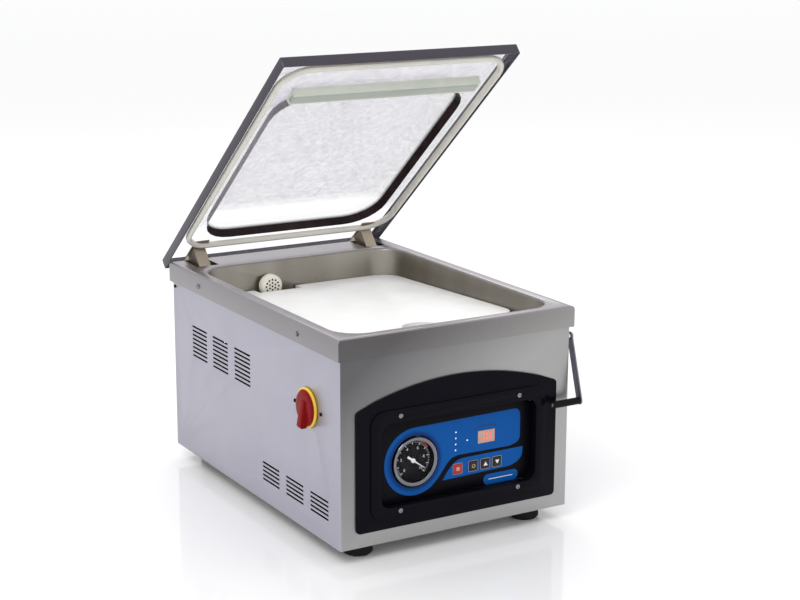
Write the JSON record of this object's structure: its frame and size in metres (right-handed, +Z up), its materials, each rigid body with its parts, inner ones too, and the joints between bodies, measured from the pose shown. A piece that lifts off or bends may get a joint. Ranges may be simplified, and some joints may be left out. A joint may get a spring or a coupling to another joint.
{
  "type": "chamber vacuum sealer",
  "caption": "Tabletop chamber vacuum sealer: steel cabinet with a deep chamber, hinged clear domed lid, seal bar, control panel with round gauge, switch and swing latch.",
  "frame": {"origin": "on the floor under the middle of the machine's box with the lid open", "axes": "+Z up, +Y to the rear where the lid is hinged, +X to the right seen from the front"},
  "size_m": [0.3716, 0.5577, 0.6274],
  "materials": {
    "brushed_steel": "brushed stainless sheet",
    "zinc_steel": "dull zinc-plated steel",
    "dark_steel": "dark satin steel",
    "spring_steel": "oiled spring wire",
    "chrome": "polished",
    "aluminium": "satin",
    "cast_iron": "painted casting",
    "motor_paint": "satin paint",
    "copper": "varnished winding",
    "gloss_black": "high gloss",
    "satin_black": "satin",
    "panel_blue": "printed polyester film",
    "black_rubber": "matte",
    "hose_rubber": "matte",
    "gasket_rubber": "satin silicone",
    "silicone": "translucent satin",
    "white_board": "fine satin",
    "off_white_plastic": "satin moulded",
    "ptfe_tape": "woven slip tape",
    "clear_glass": "clear",
    "acrylic": "clear with fine scratches",
    "dial_black": "printed dial",
    "needle_white": "painted",
    "signal_red": "glossy",
    "signal_yellow": "glossy",
    "display_red": "lit display",
    "board_green": "lacquered circuit board"
  },
  "bodies": {
    "cabinet": {"cabinet_shell": "brushed_steel", "rear_panel": "brushed_steel", "base_pan": "zinc_steel", "chamber_deck": "brushed_steel", "foot_front_left": "black_rubber", "foot_front_right": "black_rubber", "foot_rear_left": "black_rubber", "foot_rear_right": "black_rubber", "port_cap": "off_white_plastic", "lift_cylinder_left": "aluminium", "lift_cylinder_right": "aluminium", "control_bezel": "gloss_black", "control_panel": "satin_black", "panel_film": "panel_blue", "bezel_screw_1": "chrome", "bezel_screw_2": "chrome", "bezel_screw_3": "chrome", "bezel_screw_4": "chrome", "gauge_rim": "chrome", "gauge_case": "dark_steel", "gauge_glass": "clear_glass", "gauge_dial": "dial_black", "display_window": "display_red", "control_board": "board_green", "switch_plate": "signal_yellow", "switch_body": "satin_black", "latch_bolt": "chrome", "hinge_shaft": "chrome", "hinge_bracket_left": "zinc_steel", "hinge_bracket_right": "zinc_steel", "lid_spring_left": "spring_steel", "lid_spring_right": "spring_steel", "vacuum_pump": "cast_iron", "pump_motor": "motor_paint", "transformer": "copper", "solenoid_valve": "aluminium", "vacuum_hose": "hose_rubber", "power_inlet": "satin_black"},
    "filler_boards": {"filler_board_lower": "white_board", "filler_board_top": "white_board"},
    "seal_bar": {"seal_bar": "aluminium", "seal_tape": "ptfe_tape", "lift_rod_left": "chrome", "lift_rod_right": "chrome"},
    "gauge_needle": {"gauge_needle": "needle_white"},
    "stop_button": {"stop_button": "signal_red"},
    "set_button": {"set_button": "satin_black"},
    "up_button": {"up_button": "satin_black"},
    "down_button": {"down_button": "satin_black"},
    "switch_knob": {"switch_knob": "signal_red"},
    "latch": {"latch_arm": "dark_steel", "latch_grip": "black_rubber"},
    "lid": {"lid_frame": "dark_steel", "lid_window": "acrylic", "lid_gasket": "gasket_rubber", "pad_holder": "silicone", "pad_strip": "silicone", "hinge_arm_left": "zinc_steel", "hinge_arm_right": "zinc_steel"},
    "motor_fan": {"motor_fan": "satin_black"}
  },
  "joints": [
    {"name": "lid_hinge", "type": "hinge", "parent": "cabinet", "child": "lid", "pos_m": [0.002, 0.239, 0.27], "axis": [1, 0, 0], "range_deg": [0, 40.3], "stiffness_Nm_per_rad": 3.8, "springref_deg": -91.67, "deforming": ["lid_spring_left", "lid_spring_right"]},
    {"name": "filler_boards_lift", "type": "slide", "parent": "cabinet", "child": "filler_boards", "axis": [0, 0, 1], "range_m": [0, 0.03]},
    {"name": "seal_bar_lift", "type": "slide", "parent": "cabinet", "child": "seal_bar", "axis": [0, 0, 1], "range_m": [0, 0.0135]},
    {"name": "latch_swing", "type": "hinge", "parent": "cabinet", "child": "latch", "pos_m": [0.182, -0.248, 0.253], "axis": [-1, 0, 0], "range_deg": [0, 201.5]},
    {"name": "switch_turn", "type": "hinge", "parent": "cabinet", "child": "switch_knob", "pos_m": [-0.178, -0.171, 0.1877], "axis": [1, 0, 0], "range_deg": [0, 90]},
    {"name": "gauge_needle_turn", "type": "hinge", "parent": "cabinet", "child": "gauge_needle", "pos_m": [-0.0595, -0.2463, 0.1192], "axis": [0, -1, 0], "range_deg": [0, 255], "stiffness_Nm_per_rad": 0.0004, "springref_deg": -11.46},
    {"name": "stop_button_press", "type": "slide", "parent": "cabinet", "child": "stop_button", "axis": [0, 1, 0], "range_m": [0, 0.001], "stiffness_N_per_m": 600, "springref_m": -0.001},
    {"name": "set_button_press", "type": "slide", "parent": "cabinet", "child": "set_button", "axis": [0, 1, 0], "range_m": [0, 0.001], "stiffness_N_per_m": 600, "springref_m": -0.001},
    {"name": "up_button_press", "type": "slide", "parent": "cabinet", "child": "up_button", "axis": [0, 1, 0], "range_m": [0, 0.001], "stiffness_N_per_m": 600, "springref_m": -0.001},
    {"name": "down_button_press", "type": "slide", "parent": "cabinet", "child": "down_button", "axis": [0, 1, 0], "range_m": [0, 0.001], "stiffness_N_per_m": 600, "springref_m": -0.001},
    {"name": "motor_fan_spin", "type": "hinge", "parent": "cabinet", "child": "motor_fan", "pos_m": [-0.043, -0.102, 0.098], "axis": [0, 1, 0], "continuous": true}
  ]
}
